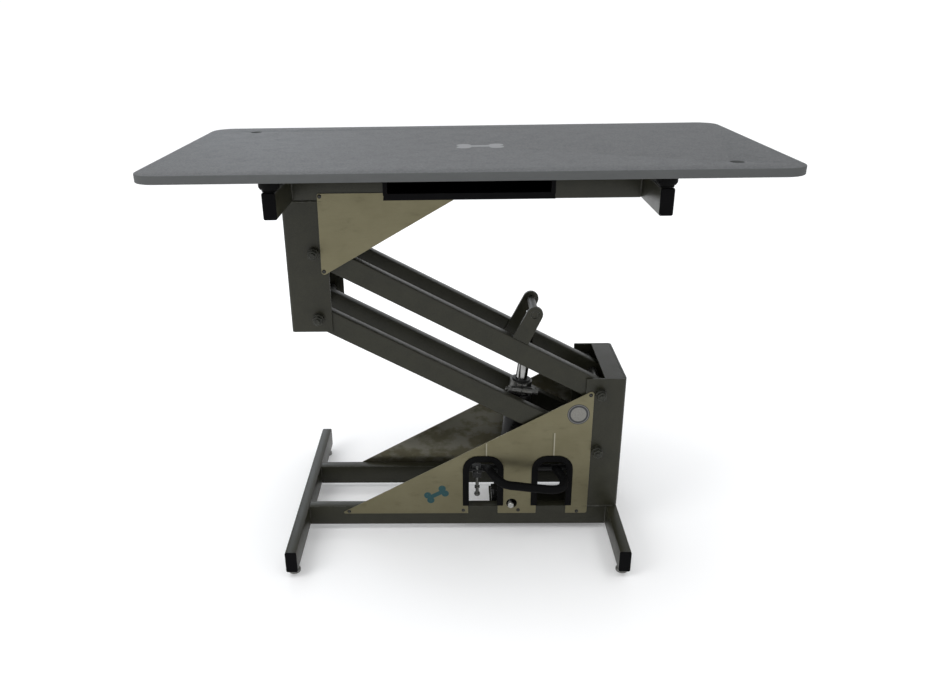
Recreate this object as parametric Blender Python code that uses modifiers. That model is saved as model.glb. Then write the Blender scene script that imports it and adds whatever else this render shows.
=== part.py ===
"""Hydraulic Z-lift grooming table, built as separate named pieces (metres, +Z up, floor at Z = 0)."""
import math

import bmesh
import bpy
from mathutils import Matrix, Vector

# ---------------------------------------------------------------- driving dimensions
GAP = 0.0003                       # clearance kept between neighbouring pieces

TOP_WIDTH = 1.2064                 # tabletop, 48 in nominal
TOP_DEPTH = 0.6096                 # tabletop, 24 in
TOP_THICK = 0.0159
TOP_HEIGHT = 0.8889
TOP_UNDER = TOP_HEIGHT - TOP_THICK
TOP_CORNER = 0.045
ARM_HOLE_X = 0.4905                # grooming-arm holes, back left and front right
ARM_HOLE_Y = 0.2350
ARM_HOLE_RADIUS = 0.0127

TUBE_WIDE = 0.0254                 # 1 x 2 in tube stock
TUBE_TALL = 0.0508
TUBE_WALL = 0.0021
TUBE_ROUND = 0.0030

FRONT_Y = -0.1048                  # front and rear faces of both rails and both posts
REAR_Y = 0.1048
BASE_BOTTOM = 0.0150
BASE_TOP = BASE_BOTTOM + TUBE_TALL
FOOT_HALF = 0.2830
FOOT_LEFT_X = -0.4002
POST_RIGHT_X = 0.3552
POST_WIDE = 0.0889
POST_WALL = 0.0048
POST_TOP = 0.3960
POST_PLATE_LEFT = 0.3080

PIVOT_RIGHT_X = 0.2985
PIVOT_LEFT_X = -0.3160
PIVOT_LOW_RIGHT_Z = 0.2165
PIVOT_LOW_LEFT_Z = 0.5450
PIVOT_STEP = 0.1445                # height of the upper pivot over the lower one
BOLT_RADIUS = 0.00635
BOLT_HOLE = 0.0068
SLEEVE_RADIUS = 0.0110

ARM_HALF = 0.0245                  # half the depth of an arm tube
ARM_WIDE = 0.0254
ARM_FRONT_Y = FRONT_Y + POST_WALL + GAP
ARM_REAR_Y = 0.0134

HANGER_LEFT_X = -0.3765            # left faces of the hanging post and the left cross tube
HANGER_BOTTOM = 0.5131
FRAME_TOP = 0.8478
FRAME_BOTTOM = FRAME_TOP - TUBE_TALL
CROSS_HALF = 0.2590
CROSS_RIGHT_X = 0.3765
PAD_Y = 0.2470

TRAY_X = (-0.1515, 0.1580)
TRAY_Y = (-0.2860, -0.1120)
TRAY_BOTTOM = 0.8365
TRAY_LIP = 0.0260

PLATE_THICK = 0.0015
COVER_FRONT_Y = FRONT_Y - GAP - PLATE_THICK
COVER_REAR_Y = REAR_Y + GAP
COVER_TIP = (-0.2569, 0.0712)      # a point on the lower cover's sloping edge
COVER_SLOPE = 0.5511
WINDOWS = ((0.0040, 0.0740), (0.1640, 0.2340))
WINDOW_TOP = 0.1900
WINDOW_ROUND = 0.0225

PIN_X = 0.1480                     # cross pin that the jack rod pushes on
PIN_Z = 0.5460
PIN_RADIUS = 0.0090
LUG_HEAD = 0.0175
LUG_THICK = 0.0070
JACK_X = 0.0964                    # lower pivot of the jack
JACK_Y = -0.0305
JACK_Z = 0.0800
ROD_RADIUS = 0.0132
ROD_CLEARANCE = 0.0070             # rod end to pin, so that the opened linkage never touches
CLAMP_BOLT_Y = -0.0335
CLAMP_BOLT_Z = 0.2725
PEDAL_Y = -0.0700                  # pedal hinge line
PEDAL_Z = 0.1500
PEDAL_RADIUS = 0.0100

ARM_LEAN = math.atan2(PIVOT_LOW_LEFT_Z - PIVOT_LOW_RIGHT_Z, PIVOT_RIGHT_X - PIVOT_LEFT_X)
ARM_LENGTH = math.hypot(PIVOT_LOW_LEFT_Z - PIVOT_LOW_RIGHT_Z, PIVOT_RIGHT_X - PIVOT_LEFT_X)
JACK_LEAN = math.atan2(PIN_X - JACK_X, PIN_Z - JACK_Z)
JACK_REACH = math.hypot(PIN_X - JACK_X, PIN_Z - JACK_Z)

LOW_PIVOT = (PIVOT_RIGHT_X, 0.0, PIVOT_LOW_RIGHT_Z)
HIGH_PIVOT = (PIVOT_RIGHT_X, 0.0, PIVOT_LOW_RIGHT_Z + PIVOT_STEP)
HANG_PIVOT = (PIVOT_LEFT_X, 0.0, PIVOT_LOW_LEFT_Z)
JACK_PIVOT = (JACK_X, JACK_Y, JACK_Z)

FRAME_PAINT = ((0.040, 0.041, 0.034), 0.0, 0.42)
STAINLESS = ((0.30, 0.28, 0.205), 0.85, 0.36)
ZINC = ((0.40, 0.40, 0.38), 0.95, 0.35)
CHROME = ((0.60, 0.60, 0.61), 1.0, 0.12)
RUBBER = ((0.016, 0.016, 0.017), 0.0, 0.70)
BLACK_PLASTIC = ((0.012, 0.012, 0.014), 0.0, 0.46)
TOP_GREY = ((0.150, 0.155, 0.160), 0.0, 0.60)
PUMP_PAINT = ((0.028, 0.028, 0.029), 0.2, 0.40)

ALONG = {
    "X": Matrix.Rotation(math.radians(90.0), 4, "Y"),
    "Y": Matrix.Rotation(math.radians(-90.0), 4, "X"),
    "Z": Matrix.Identity(4),
}


# ---------------------------------------------------------------- scene helpers
def clear_scene():
    for old in list(bpy.data.objects):
        bpy.data.objects.remove(old, do_unlink=True)


def new_collection(name):
    group = bpy.data.collections.new(name)
    bpy.context.scene.collection.children.link(group)
    return group


clear_scene()
PARTS = new_collection("grooming_table")
CUTTERS = new_collection("grooming_table_cutters")


def joint_empty(name, place):
    """Empty on a joint's axis, which the moving pieces of one body hang from."""
    empty = bpy.data.objects.new(name, None)
    empty.empty_display_size = 0.05
    empty.location = place
    PARTS.objects.link(empty)
    return empty


BASE = joint_empty("body_base", (0.0, 0.0, 0.0))
LOWER = joint_empty("body_lower_arms", LOW_PIVOT)
UPPER = joint_empty("body_upper_arms", HIGH_PIVOT)
TABLE = joint_empty("body_table", HANG_PIVOT)
BARREL = joint_empty("body_jack_barrel", JACK_PIVOT)
RAM = joint_empty("body_jack_ram", JACK_PIVOT)
PEDAL = joint_empty("body_pedal", (0.0, PEDAL_Y, PEDAL_Z))


def finish_material(obj, finish):
    colour, metallic, roughness = finish
    mat = bpy.data.materials.new(obj.name + "_finish")
    mat.use_nodes = True
    shader = mat.node_tree.nodes["Principled BSDF"]
    shader.inputs["Base Color"].default_value = (*colour, 1.0)
    shader.inputs["Metallic"].default_value = metallic
    shader.inputs["Roughness"].default_value = roughness
    mat.diffuse_color = (*colour, 1.0)
    obj.data.materials.clear()
    obj.data.materials.append(mat)


def add_part(name, data, finish, body, matrix=None):
    obj = bpy.data.objects.new(name, data)
    PARTS.objects.link(obj)
    obj.matrix_world = matrix or Matrix.Identity(4)
    obj.parent = body
    obj.matrix_parent_inverse = Matrix.Translation(-Vector(body.location))
    finish_material(obj, finish)
    return obj


def add_cutter(name, data, matrix=None):
    obj = bpy.data.objects.new(name, data)
    CUTTERS.objects.link(obj)
    obj.matrix_world = matrix or Matrix.Identity(4)
    obj.hide_render = True
    obj.display_type = "WIRE"
    return obj


def boolean(obj, cutter, operation="DIFFERENCE"):
    mod = obj.modifiers.new(operation.lower() + "_" + cutter.name, "BOOLEAN")
    mod.operation = operation
    mod.solver = "EXACT"
    mod.object = cutter


def edge_round(obj, width, segments=1, angle=50.0):
    mod = obj.modifiers.new("edge_round", "BEVEL")
    mod.width = width
    mod.segments = segments
    mod.limit_method = "ANGLE"
    mod.angle_limit = math.radians(angle)


# ---------------------------------------------------------------- mesh helpers
def finish_mesh(name, bm, smooth=True):
    bmesh.ops.recalc_face_normals(bm, faces=bm.faces[:])
    mesh = bpy.data.meshes.new(name)
    bm.to_mesh(mesh)
    bm.free()
    if smooth:
        mesh.shade_smooth()
        mesh.set_sharp_from_angle(angle=math.radians(40.0))
    return mesh


def extruded(name, loops, low, high, plane="XY"):
    """Filled 2D curve with thickness from low to high across its plane; later loops are holes."""
    curve = bpy.data.curves.new(name + "_outline", "CURVE")
    curve.dimensions = "2D"
    curve.fill_mode = "BOTH"
    curve.extrude = (high - low) / 2.0
    for loop in loops:
        spline = curve.splines.new("POLY")
        spline.points.add(len(loop) - 1)
        for point, (u, v) in zip(spline.points, loop):
            point.co = (u, v, 0.0, 1.0)
        spline.use_cyclic_u = True
    holder = bpy.data.objects.new(name + "_outline", curve)
    bpy.context.scene.collection.objects.link(holder)
    graph = bpy.context.evaluated_depsgraph_get()
    filled = bpy.data.meshes.new_from_object(holder.evaluated_get(graph))
    bpy.data.objects.remove(holder, do_unlink=True)
    bm = bmesh.new()
    bm.from_mesh(filled)
    bmesh.ops.remove_doubles(bm, verts=bm.verts, dist=0.000001)
    middle = (low + high) / 2.0
    if plane == "XZ":
        bm.transform(Matrix.Translation((0.0, middle, 0.0)) @ Matrix.Rotation(math.radians(90.0), 4, "X"))
    elif plane == "YZ":
        bm.transform(Matrix(((0, 0, 1, middle), (1, 0, 0, 0), (0, 1, 0, 0), (0, 0, 0, 1))))
    else:
        bm.transform(Matrix.Translation((0.0, 0.0, middle)))
    return finish_mesh(name, bm)


def box_mesh(name, x, y, z):
    """Cube primitive stretched between two values on each axis."""
    bm = bmesh.new()
    bmesh.ops.create_cube(bm, size=1.0)
    size = Matrix.Diagonal((x[1] - x[0], y[1] - y[0], z[1] - z[0], 1.0))
    middle = ((x[0] + x[1]) / 2.0, (y[0] + y[1]) / 2.0, (z[0] + z[1]) / 2.0)
    bm.transform(Matrix.Translation(middle) @ size)
    return finish_mesh(name, bm, smooth=False)


def rod_mesh(name, radius, low, high, sides=20):
    """Cylinder primitive along local Z."""
    bm = bmesh.new()
    bmesh.ops.create_cone(bm, cap_ends=True, segments=sides, radius1=radius, radius2=radius, depth=high - low)
    bm.transform(Matrix.Translation((0.0, 0.0, (low + high) / 2.0)))
    return finish_mesh(name, bm)


def rod_cutter(name, axis, centre, radius, low, high, sides=20, frame=None):
    """Hole cutter along an axis; centre holds the other two coordinates in their usual order."""
    spots = {"X": (0.0, centre[0], centre[1]), "Y": (centre[0], 0.0, centre[1]), "Z": (centre[0], centre[1], 0.0)}
    matrix = (frame or Matrix.Identity(4)) @ Matrix.Translation(spots[axis]) @ ALONG[axis]
    return add_cutter(name, rod_mesh(name, radius, low, high, sides), matrix)


def turned_part(name, profile, finish, body, matrix, sides=24):
    """Round body: a (radius, height) profile, given from the top down, under a Screw modifier."""
    mesh = bpy.data.meshes.new(name)
    points = [(radius, 0.0, height) for radius, height in profile]
    mesh.from_pydata(points, [(i, i + 1) for i in range(len(points) - 1)], [])
    obj = add_part(name, mesh, finish, body, matrix)
    screw = obj.modifiers.new("turn", "SCREW")
    screw.steps = sides
    screw.render_steps = sides
    screw.use_merge_vertices = True
    screw.merge_threshold = 0.00001
    screw.use_smooth_shade = True
    return obj


def loft(bm, rings, cap=True):
    """Join equal-length vertex rings, closing both ends."""
    rows = [[bm.verts.new(p) for p in ring] for ring in rings]
    for low, high in zip(rows, rows[1:]):
        for i in range(len(low)):
            j = (i + 1) % len(low)
            bm.faces.new((low[i], low[j], high[j], high[i]))
    if cap:
        bm.faces.new(list(reversed(rows[0])))
        bm.faces.new(rows[-1])


def hex_loft(name, rows, sides=24):
    """Loft along local Z between round and hexagonal sections; rows are (radius, height, is_hex)."""
    rings = []
    for radius, height, is_hex in rows:
        ring = []
        for i in range(sides):
            a = 2.0 * math.pi * i / sides
            sector = (a + math.pi / 6.0) % (math.pi / 3.0) - math.pi / 6.0
            r = radius / math.cos(sector) if is_hex else radius
            ring.append((r * math.cos(a), r * math.sin(a), height))
        rings.append(ring)
    bm = bmesh.new()
    loft(bm, rings)
    return finish_mesh(name, bm)


def fillet(corners, segments=4):
    """Round each (u, v, radius) corner of a closed outline."""
    points = []
    count = len(corners)
    for i in range(count):
        here = Vector(corners[i][:2])
        before = Vector(corners[i - 1][:2])
        after = Vector(corners[(i + 1) % count][:2])
        radius = corners[i][2]
        if radius <= 0.0:
            points.append((here.x, here.y))
            continue
        back = (before - here).normalized()
        ahead = (after - here).normalized()
        half = back.angle(ahead) / 2.0
        reach = radius / math.tan(half)
        centre = here + (back + ahead).normalized() * (radius / math.sin(half))
        start = here + back * reach
        stop = here + ahead * reach
        a0 = math.atan2(start.y - centre.y, start.x - centre.x)
        a1 = math.atan2(stop.y - centre.y, stop.x - centre.x)
        sweep = (a1 - a0 + math.pi) % (2.0 * math.pi) - math.pi
        for k in range(segments + 1):
            a = a0 + sweep * k / segments
            points.append((centre.x + radius * math.cos(a), centre.y + radius * math.sin(a)))
    return points


def arc(centre, radius, start, stop, steps):
    """Points of a circular arc, angles in degrees."""
    points = []
    for k in range(steps + 1):
        a = math.radians(start + (stop - start) * k / steps)
        points.append((centre[0] + radius * math.cos(a), centre[1] + radius * math.sin(a)))
    return points


def rounded_box(u, v, radius, segments=2):
    corners = [(u[0], v[0], radius), (u[1], v[0], radius), (u[1], v[1], radius), (u[0], v[1], radius)]
    return fillet(corners, segments)


def tube_section(u, v):
    """Outer and inner loops of a rectangular tube."""
    w = TUBE_WALL
    inner = rounded_box((u[0] + w, u[1] - w), (v[0] + w, v[1] - w), TUBE_ROUND - w * 0.6)
    return [rounded_box(u, v, TUBE_ROUND), inner]


def tube_along_x(name, x, y, z, body):
    return add_part(name, extruded(name, tube_section(y, z), x[0], x[1], "YZ"), FRAME_PAINT, body)


def tube_along_y(name, x, y, z, body):
    return add_part(name, extruded(name, tube_section(x, z), y[0], y[1], "XZ"), FRAME_PAINT, body)


def at(x, y, z, axis="Z"):
    """Placement at a point with local Z laid along an axis."""
    return Matrix.Translation((x, y, z)) @ ALONG[axis]


# ---------------------------------------------------------------- base frame
def build_base():
    right_x = POST_RIGHT_X - TUBE_WIDE
    height = (BASE_BOTTOM, BASE_TOP)
    for side, x0 in (("left", FOOT_LEFT_X), ("right", right_x)):
        across = (x0, x0 + TUBE_WIDE)
        middle = x0 + TUBE_WIDE / 2.0
        foot = tube_along_y("base_foot_" + side, across, (-FOOT_HALF, FOOT_HALF), height, BASE)
        for end, sign in (("front", -1.0), ("rear", 1.0)):
            glide_y = sign * (FOOT_HALF - 0.024)
            boolean(foot, rod_cutter("hole_glide_%s_%s" % (side, end), "Z", (middle, glide_y), 0.0049, 0.0, 0.030, 16))
            end_cap("foot_cap_%s_%s" % (side, end), across, height, sign * FOOT_HALF, sign, BASE)
            levelling_foot("levelling_foot_%s_%s" % (side, end), middle, glide_y)
    length = (FOOT_LEFT_X + TUBE_WIDE + GAP, right_x - GAP)
    tube_along_x("base_rail_front", length, (FRONT_Y, FRONT_Y + TUBE_WIDE), height, BASE)
    tube_along_x("base_rail_rear", length, (REAR_Y - TUBE_WIDE, REAR_Y), height, BASE)


def end_cap(name, x, z, y_end, sign, body):
    """Plastic plug lofted from a thin flange over the tube end to a smaller stub inside it."""
    thick = 0.0040
    chamfer = 0.0014
    stub_depth = 0.0140
    w = TUBE_WALL + GAP
    flange = rounded_box(x, z, TUBE_ROUND)
    face = rounded_box((x[0] + chamfer, x[1] - chamfer), (z[0] + chamfer, z[1] - chamfer), TUBE_ROUND)
    stub = rounded_box((x[0] + w, x[1] - w), (z[0] + w, z[1] - w), 0.0016)
    levels = (
        (face, thick), (flange, thick - chamfer), (flange, GAP), (stub, GAP), (stub, -stub_depth),
    )
    bm = bmesh.new()
    loft(bm, [[(u, y_end + sign * out, v) for u, v in loop] for loop, out in levels])
    add_part(name, finish_mesh(name, bm), BLACK_PLASTIC, body)


def levelling_foot(name, x, y):
    rows = (
        (0.0135, 0.0, False), (0.0135, 0.0050, False), (0.0098, 0.0084, False), (0.0075, 0.0086, True),
        (0.0075, 0.0127, True), (0.0042, 0.0128, False), (0.0042, 0.0440, False),
    )
    add_part(name, hex_loft(name, rows), ZINC, BASE, at(x, y, 0.0))


# ---------------------------------------------------------------- posts
def channel_outline(x_free, x_web):
    """Plan of a formed channel: web at x_web, both flanges running to x_free."""
    toward = 1.0 if x_web > x_free else -1.0
    w = POST_WALL
    corners = [
        (x_free, FRONT_Y, 0.0020), (x_web, FRONT_Y, 0.0070), (x_web, REAR_Y, 0.0070), (x_free, REAR_Y, 0.0020),
        (x_free, REAR_Y - w, 0.0016), (x_web - toward * w, REAR_Y - w, 0.0030),
        (x_web - toward * w, FRONT_Y + w, 0.0030), (x_free, FRONT_Y + w, 0.0016),
    ]
    return fillet(corners, 3)


def build_posts():
    outline = channel_outline(POST_RIGHT_X - POST_WIDE, POST_RIGHT_X)
    post = add_part("lift_post", extruded("lift_post", [outline], BASE_TOP + GAP, POST_TOP), FRAME_PAINT, BASE)
    outline = channel_outline(HANGER_LEFT_X + POST_WIDE, HANGER_LEFT_X)
    mesh = extruded("table_post", [outline], HANGER_BOTTOM, FRAME_BOTTOM - GAP)
    hanger = add_part("table_post", mesh, FRAME_PAINT, TABLE)
    for level, step in (("lower", 0.0), ("upper", PIVOT_STEP)):
        spot = (PIVOT_RIGHT_X, PIVOT_LOW_RIGHT_Z + step)
        boolean(post, rod_cutter("hole_post_" + level, "Y", spot, BOLT_HOLE, -0.15, 0.15))
        spot = (PIVOT_LEFT_X, PIVOT_LOW_LEFT_Z + step)
        boolean(hanger, rod_cutter("hole_hanger_" + level, "Y", spot, BOLT_HOLE, -0.15, 0.15))
    inset = POST_WALL + GAP
    x = (POST_PLATE_LEFT, POST_RIGHT_X - inset)
    y = (FRONT_Y + inset, REAR_Y - inset)
    corners = fillet([(x[0], y[0], 0.001), (x[1], y[0], 0.004), (x[1], y[1], 0.004), (x[0], y[1], 0.001)], 3)
    mesh = extruded("lift_post_top_plate", [corners], POST_TOP - POST_WALL, POST_TOP - GAP)
    add_part("lift_post_top_plate", mesh, FRAME_PAINT, BASE)


def pivot_bolt(name, x, z, body):
    """Through bolt with a thick spacer and hexagon nut in front, and a washer and hexagon head behind."""
    front = FRONT_Y - GAP
    rear = REAR_Y + GAP
    washer = 0.0120
    spacer = 0.0120
    flats = 0.0095
    rows = (
        (0.0052, front - 0.0270, False), (BOLT_RADIUS, front - 0.0259, False), (BOLT_RADIUS, front - 0.0231, False),
        (0.0088, front - 0.0230, False), (flats, front - 0.0219, True), (flats, front - 0.0136, True),
        (spacer - 0.0010, front - 0.0135, False), (spacer, front - 0.0125, False), (spacer, front, False),
        (BOLT_RADIUS, front, False),
        (BOLT_RADIUS, rear, False), (washer, rear, False), (washer, rear + 0.0021, False),
        (flats, rear + 0.0022, True), (flats, rear + 0.0092, True), (0.0082, rear + 0.0102, False),
    )
    add_part(name, hex_loft(name, rows), FRAME_PAINT, body, at(x, 0.0, z, "Y"))


def build_pivots():
    for level, step in (("lower", 0.0), ("upper", PIVOT_STEP)):
        pivot_bolt("pivot_bolt_base_" + level, PIVOT_RIGHT_X, PIVOT_LOW_RIGHT_Z + step, BASE)
        pivot_bolt("pivot_bolt_table_" + level, PIVOT_LEFT_X, PIVOT_LOW_LEFT_Z + step, TABLE)


# ---------------------------------------------------------------- lift arms
def arm_frame(pivot):
    """Local X runs from the pivot towards the table and local Z stands on the arm, local Y points to the front."""
    along = Vector((-math.cos(ARM_LEAN), 0.0, math.sin(ARM_LEAN)))
    up = Vector((math.sin(ARM_LEAN), 0.0, math.cos(ARM_LEAN)))
    turn = Matrix((along, up.cross(along), up)).transposed().to_4x4()
    return Matrix.Translation(pivot) @ turn


def arm_tube(name, pivot, y0, hole, body):
    """Rectangular tube arm with its open ends cut round and a cross hole at each pivot."""
    frame = arm_frame(pivot)
    across = (-y0 - ARM_WIDE, -y0)
    spare = ARM_HALF + 0.004
    mesh = extruded(name, tube_section(across, (-ARM_HALF, ARM_HALF)), -spare, ARM_LENGTH + spare, "YZ")
    arm = add_part(name, mesh, FRAME_PAINT, body, frame)
    reach = ARM_HALF + 0.0006
    outline = arc((0.0, 0.0), reach, 270.0, 90.0, 10) + arc((ARM_LENGTH, 0.0), reach, 90.0, -90.0, 10)
    ends = extruded("ends_" + name, [outline], across[0] - 0.010, across[1] + 0.010, "XZ")
    boolean(arm, add_cutter("ends_" + name, ends, frame), "INTERSECT")
    for end, along in (("near", 0.0), ("far", ARM_LENGTH)):
        cutter_name = "hole_%s_%s" % (name, end)
        boolean(arm, rod_cutter(cutter_name, "Y", (along, 0.0), hole, across[0] - 0.01, across[1] + 0.01, 20, frame))


def cross_sleeve(name, x, z, body):
    """Hollow cross sleeve welded through the rear arm, turning on the pivot bolt."""
    y0 = ARM_FRONT_Y + ARM_WIDE + GAP
    y1 = REAR_Y - POST_WALL - GAP
    loops = [arc((x, z), radius, 0.0, 342.0, 19) for radius in (SLEEVE_RADIUS, BOLT_HOLE)]
    add_part(name, extruded(name, loops, y0, y1, "XZ"), ZINC, body)


def build_arms():
    for level, pivot, body in (("lower", LOW_PIVOT, LOWER), ("upper", HIGH_PIVOT, UPPER)):
        arm_tube("arm_%s_front" % level, pivot, ARM_FRONT_Y, BOLT_HOLE, body)
        arm_tube("arm_%s_rear" % level, pivot, ARM_REAR_Y, SLEEVE_RADIUS + GAP, body)
        cross_sleeve("cross_sleeve_%s_base" % level, pivot[0], pivot[2], body)
        far = arm_frame(pivot) @ Vector((ARM_LENGTH, 0.0, 0.0))
        cross_sleeve("cross_sleeve_%s_table" % level, far.x, far.z, body)


def lug_outline(foot, across):
    """Lug outline in the arm's frame: straight sides from the foot up to a round head about the pin."""
    head = arm_frame(HIGH_PIVOT).inverted() @ Vector((PIN_X, 0.0, PIN_Z))
    middle = (foot[0] + foot[1]) / 2.0
    lean = math.degrees(math.atan2(head.z - across, head.x - middle))
    return [(foot[1], across)] + arc((head.x, head.z), LUG_HEAD, lean - 90.0, lean + 90.0, 12) + [(foot[0], across)]


def build_lugs():
    frame = arm_frame(HIGH_PIVOT)
    front_y = ARM_FRONT_Y + 0.0006
    rear_y = ARM_REAR_Y - GAP - LUG_THICK
    plates = (("front", (0.1984, 0.2366), ARM_HALF + GAP, front_y), ("rear", (0.1930, 0.2350), -0.0160, rear_y))
    for tag, foot, across, y in plates:
        name = "jack_lug_" + tag
        lug = add_part(name, extruded(name, [lug_outline(foot, across)], -y - LUG_THICK, -y, "XZ"), FRAME_PAINT, UPPER, frame)
        boolean(lug, rod_cutter("hole_lug_" + tag, "Y", (PIN_X, PIN_Z), PIN_RADIUS + GAP, -0.15, 0.05))
        edge_round(lug, 0.0007)
    low = front_y + 0.0012
    high = rear_y + LUG_THICK + 0.0030
    profile = (
        (0.0, high), (PIN_RADIUS - 0.0010, high), (PIN_RADIUS, high - 0.0010), (PIN_RADIUS, low + 0.0006),
        (PIN_RADIUS - 0.0006, low), (0.0062, low), (0.0056, low + 0.0012), (0.0, low + 0.0012),
    )
    turned_part("jack_lug_pin", profile, FRAME_PAINT, UPPER, at(PIN_X, 0.0, PIN_Z, "Y"))


# ---------------------------------------------------------------- top frame
def build_top_frame():
    height = (FRAME_BOTTOM, FRAME_TOP)
    left = (HANGER_LEFT_X, HANGER_LEFT_X + TUBE_WIDE)
    right = (CROSS_RIGHT_X - TUBE_WIDE, CROSS_RIGHT_X)
    for side, across in (("left", left), ("right", right)):
        tube_along_y("top_cross_" + side, across, (-CROSS_HALF, CROSS_HALF), height, TABLE)
        for end, sign in (("front", -1.0), ("rear", 1.0)):
            end_cap("frame_cap_%s_%s" % (side, end), across, height, sign * CROSS_HALF, sign, TABLE)
            top_pad("top_pad_%s_%s" % (side, end), sum(across) / 2.0, sign * PAD_Y)
    length = (left[1] + GAP, right[0] - GAP)
    tube_along_x("top_rail_front", length, (FRONT_Y, FRONT_Y + TUBE_WIDE), height, TABLE)
    tube_along_x("top_rail_rear", length, (REAR_Y - TUBE_WIDE, REAR_Y), height, TABLE)


def top_pad(name, x, y):
    """Round rubber bumper that the tabletop rests on."""
    low = FRAME_TOP + GAP
    high = TOP_UNDER - GAP
    profile = (
        (0.0, high), (0.0190, high), (0.0195, high - 0.0010), (0.0195, low + 0.0085), (0.0172, low + 0.0048),
        (0.0142, low + 0.0032), (0.0138, low), (0.0, low),
    )
    turned_part(name, profile, RUBBER, TABLE, at(x, y, 0.0))


def build_tabletop():
    half = (TOP_WIDTH / 2.0, TOP_DEPTH / 2.0)
    outline = rounded_box((-half[0], half[0]), (-half[1], half[1]), TOP_CORNER, 7)
    top = add_part("tabletop", extruded("tabletop", [outline], TOP_UNDER, TOP_HEIGHT), TOP_GREY, TABLE)
    for tag, sign in (("back_left", -1.0), ("front_right", 1.0)):
        spot = (sign * ARM_HOLE_X, -sign * ARM_HOLE_Y)
        boolean(top, rod_cutter("hole_arm_" + tag, "Z", spot, ARM_HOLE_RADIUS, TOP_UNDER - 0.02, TOP_HEIGHT + 0.02, 24))
    edge_round(top, 0.0025, 2)


def build_tray():
    """Shallow tray, open above a low front lip, with a flange along each side under the tabletop."""
    x0, x1 = TRAY_X
    y0, y1 = TRAY_Y
    low = TRAY_BOTTOM
    high = TOP_UNDER - GAP
    lip = TRAY_LIP
    flange = 0.0035
    ridge = 0.0090
    wall = 0.0025
    section = [
        (x0 - lip, high), (x0 - lip, high - flange + 0.0006), (x0, high - flange), (x0, low + ridge),
        (x0 + 0.0012, low + ridge - 0.0010), (x0, low), (x1, low), (x1 - 0.0012, low + ridge - 0.0010),
        (x1, low + ridge), (x1, high - flange), (x1 + lip, high - flange + 0.0006), (x1 + lip, high),
    ]
    tray = add_part("storage_tray", extruded("storage_tray", [section], y0, y1, "XZ"), BLACK_PLASTIC, TABLE)
    inside = box_mesh("tray_inside", (x0 + wall, x1 - wall), (y0 + wall, y1 - wall), (low + wall, high + 0.02))
    boolean(tray, add_cutter("tray_inside", inside))
    mouth = box_mesh("tray_mouth", (x0 + 0.008, x1 - 0.008), (y0 - 0.01, y0 + 0.01), (low + 0.012, high + 0.02))
    boolean(tray, add_cutter("tray_mouth", mouth))


# ---------------------------------------------------------------- stainless covers
def lower_cover_outline(windows):
    right = 0.2848
    low = 0.0470
    left = COVER_TIP[0] + (low - COVER_TIP[1]) / COVER_SLOPE
    high = COVER_TIP[1] + (right - COVER_TIP[0]) * COVER_SLOPE
    corners = [(left, low, 0.0030)]
    for x0, x1 in windows:
        corners += [(x0, low, 0.0), (x0, WINDOW_TOP, WINDOW_ROUND), (x1, WINDOW_TOP, WINDOW_ROUND), (x1, low, 0.0)]
    corners += [(right, low, 0.0050), (right, high, 0.0060)]
    return fillet(corners, 5)


def upper_cover_outline():
    left = -0.3010
    right = 0.0032
    high = 0.8130
    low = high - (right - left) * 0.5621
    return fillet([(left, high, 0.0040), (left - 0.0020, low - 0.0040, 0.0060), (right, high, 0.0030)], 5)


def build_covers():
    covers = (
        ("lower_cover_front", lower_cover_outline(WINDOWS), COVER_FRONT_Y, BASE),
        ("lower_cover_rear", lower_cover_outline(()), COVER_REAR_Y, BASE),
        ("upper_cover_front", upper_cover_outline(), COVER_FRONT_Y, TABLE),
        ("upper_cover_rear", upper_cover_outline(), COVER_REAR_Y, TABLE),
    )
    for name, outline, y, body in covers:
        cover = add_part(name, extruded(name, [outline], y, y + PLATE_THICK, "XZ"), STAINLESS, body)
        if name == "lower_cover_front":
            boolean(cover, rod_cutter("hole_cover", "Y", (0.1067, 0.0746), 0.0126, y - 0.01, y + 0.02, 24))
    for side, window in zip(("left", "right"), WINDOWS):
        window_trim("window_trim_" + side, *window)


def window_trim(name, x0, x1):
    """U-section rubber edging lofted round the rim of a window."""
    foot = 0.0700
    lip = 0.0018
    face = 0.0125
    radius = WINDOW_ROUND
    path = [(x0, foot, -1.0, 0.0)]
    for cx, a0 in ((x0 + radius, 180.0), (x1 - radius, 90.0)):
        for k in range(6):
            a = math.radians(a0 - 90.0 * k / 5.0)
            path.append((cx + radius * math.cos(a), WINDOW_TOP - radius + radius * math.sin(a), math.cos(a), math.sin(a)))
    path.append((x1, foot, 1.0, 0.0))
    y_out = COVER_FRONT_Y
    y_in = COVER_FRONT_Y + PLATE_THICK
    section = [
        (-lip, y_out - 0.0028), (-lip + 0.0010, y_out - 0.0034), (face - 0.0012, y_out - 0.0034), (face, y_out - 0.0026),
        (face, y_out - GAP), (-GAP, y_out - GAP), (-GAP, y_in + GAP), (face - 0.0012, y_in + GAP),
        (face - 0.0012, y_in + 0.0026), (-lip, y_in + 0.0026),
    ]
    bm = bmesh.new()
    loft(bm, [[(x + n * nx, y, z + n * nz) for n, y in section] for x, z, nx, nz in path])
    add_part(name, finish_mesh(name, bm), RUBBER, BASE)


# ---------------------------------------------------------------- hydraulic jack
JACK_FRAME = Matrix.Translation(JACK_PIVOT) @ Matrix.Rotation(JACK_LEAN, 4, "Y")


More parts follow.
